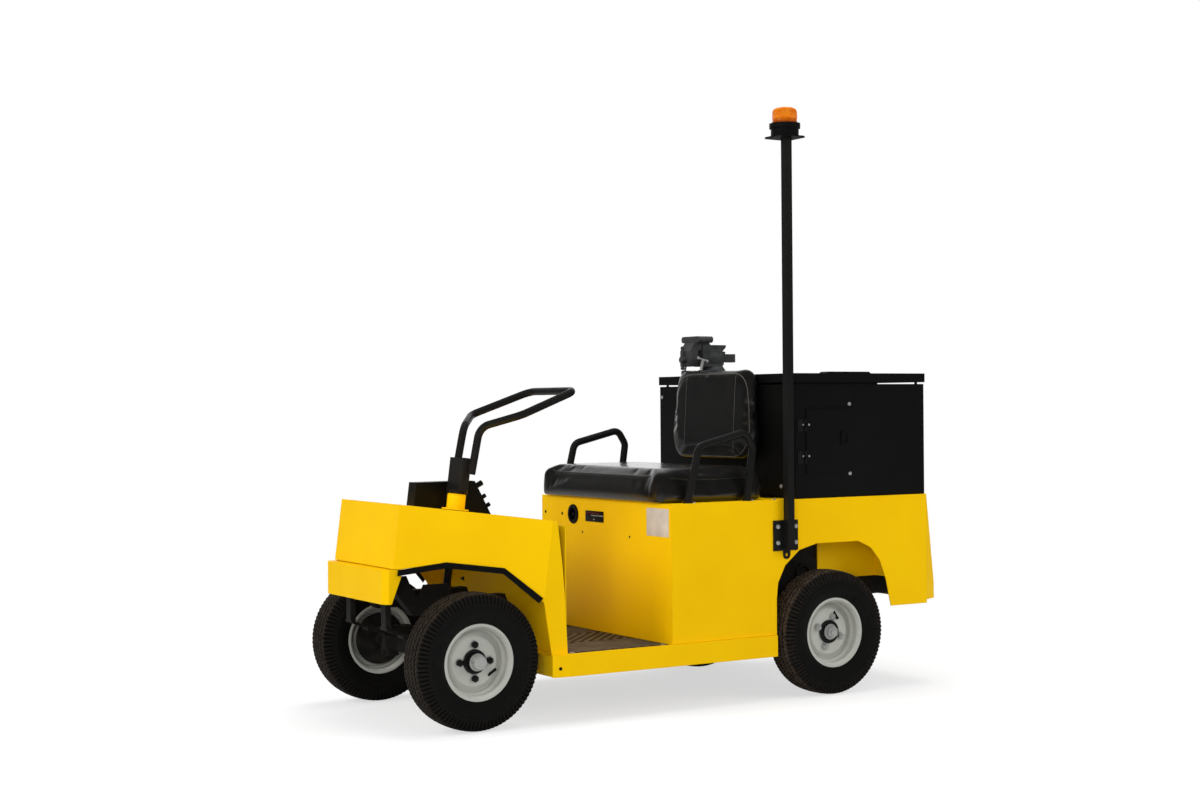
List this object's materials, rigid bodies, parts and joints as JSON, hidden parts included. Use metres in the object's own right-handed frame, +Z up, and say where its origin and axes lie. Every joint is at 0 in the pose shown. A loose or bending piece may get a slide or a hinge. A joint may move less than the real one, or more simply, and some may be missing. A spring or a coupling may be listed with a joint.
{
  "type": "electric burden carrier",
  "caption": "Narrow electric burden carrier with loop steering, bench seat, hinged-lid tool box, bench vise and a beacon on a mast.",
  "frame": {"origin": "on the floor under the middle of the vehicle's length and width", "axes": "the vehicle's front looks along -Y, +X is its left side, +Z is up"},
  "size_m": [0.921, 2.068, 1.948],
  "materials": {
    "body_paint": "satin",
    "black_frame": "satin",
    "black_box": "satin",
    "motor_paint": "matt",
    "battery_case": "matt",
    "black_plastic": "matt",
    "rubber_mat": "matt",
    "seat_vinyl": "satin",
    "amber_lens": "gloss",
    "cast_vise": "satin",
    "rim_paint": "gloss",
    "tyre_rubber": "matt"
  },
  "bodies": {
    "chassis": {"frame": "black_frame", "side_rails": "black_frame", "cross_members": "black_frame", "floor_pan": "body_paint", "floor_mat": "rubber_mat", "front_cowl": "body_paint", "bumper": "body_paint", "arch_trims": "black_plastic", "toe_board": "body_paint", "column_boss": "body_paint", "control_box": "black_box", "control_knobs": "black_plastic", "pedals": "black_frame", "body_sides": "body_paint", "seat_box_front": "body_paint", "body_deck": "body_paint", "rear_panel": "body_paint", "wheel_housings": "body_paint", "battery_pack": "battery_case", "seat_cushion": "seat_vinyl", "backrest": "seat_vinyl", "backrest_bracket": "black_frame", "armrests": "black_frame", "tool_box": "black_box", "hinges": "black_frame", "mast": "black_frame", "beacon_base": "black_plastic", "beacon_lens": "amber_lens", "front_axle": "black_frame", "leaf_springs": "black_frame", "rear_axle": "black_frame", "drive_motor": "motor_paint", "tow_hitch": "black_frame"},
    "lid": {"tool_box_lid": "black_box", "vise_body": "cast_vise"},
    "vise_slide": {"vise_jaw": "cast_vise"},
    "door": {"side_door": "black_box"},
    "steering": {"steering_column": "black_frame"},
    "link": {"steering_link": "black_frame"},
    "knuckle_left": {"knuckle_left": "black_frame"},
    "knuckle_right": {"knuckle_right": "black_frame"},
    "wheel_front_left": {"wheel_front_left": "rim_paint", "tyre_front_left": "tyre_rubber"},
    "wheel_front_right": {"wheel_front_right": "rim_paint", "tyre_front_right": "tyre_rubber"},
    "wheel_rear_left": {"wheel_rear_left": "rim_paint", "tyre_rear_left": "tyre_rubber"},
    "wheel_rear_right": {"wheel_rear_right": "rim_paint", "tyre_rear_right": "tyre_rubber"}
  },
  "joints": [
    {"name": "steering", "type": "hinge", "parent": "chassis", "child": "steering", "pos_m": [0, -0.6815, 0.64], "axis": [0, 0.1305, 0.9914], "range_deg": [-28, 28]},
    {"name": "left_kingpin", "type": "hinge", "parent": "chassis", "child": "knuckle_left", "pos_m": [0.255, -0.806, 0.2075], "axis": [0, 0, 1], "range_deg": [-29, 29]},
    {"name": "right_kingpin", "type": "hinge", "parent": "chassis", "child": "knuckle_right", "pos_m": [-0.255, -0.806, 0.2075], "axis": [0, 0, 1], "range_deg": [-29, 29]},
    {"name": "link_pivot", "type": "hinge", "parent": "knuckle_left", "child": "link", "pos_m": [0.255, -0.716, 0.172], "axis": [0, 0, 1], "range_deg": [-30, 30]},
    {"name": "front_left_spin", "type": "hinge", "parent": "knuckle_left", "child": "wheel_front_left", "pos_m": [0.347, -0.806, 0.2075], "axis": [1, 0, 0], "continuous": true},
    {"name": "front_right_spin", "type": "hinge", "parent": "knuckle_right", "child": "wheel_front_right", "pos_m": [-0.347, -0.806, 0.2075], "axis": [1, 0, 0], "continuous": true},
    {"name": "rear_left_spin", "type": "hinge", "parent": "chassis", "child": "wheel_rear_left", "pos_m": [0.386, 0.512, 0.2075], "axis": [1, 0, 0], "continuous": true},
    {"name": "rear_right_spin", "type": "hinge", "parent": "chassis", "child": "wheel_rear_right", "pos_m": [-0.386, 0.512, 0.2075], "axis": [1, 0, 0], "continuous": true},
    {"name": "lid_hinge", "type": "hinge", "parent": "chassis", "child": "lid", "pos_m": [-0.413, 0.65575, 1.04], "axis": [0, -1, 0], "range_deg": [0, 75]},
    {"name": "vise_slide", "type": "slide", "parent": "lid", "child": "vise_slide", "axis": [0, -1, 0], "range_m": [0, 0.08]},
    {"name": "door_hinge", "type": "hinge", "parent": "chassis", "child": "door", "pos_m": [0.41, 0.414, 0.847], "axis": [0, 0, -1], "range_deg": [0, 100]}
  ],
  "couplings": [
    {"joint": "left_kingpin", "follows": "steering", "ratio": 1},
    {"joint": "right_kingpin", "follows": "steering", "ratio": 1},
    {"joint": "link_pivot", "follows": "steering", "ratio": -1}
  ]
}
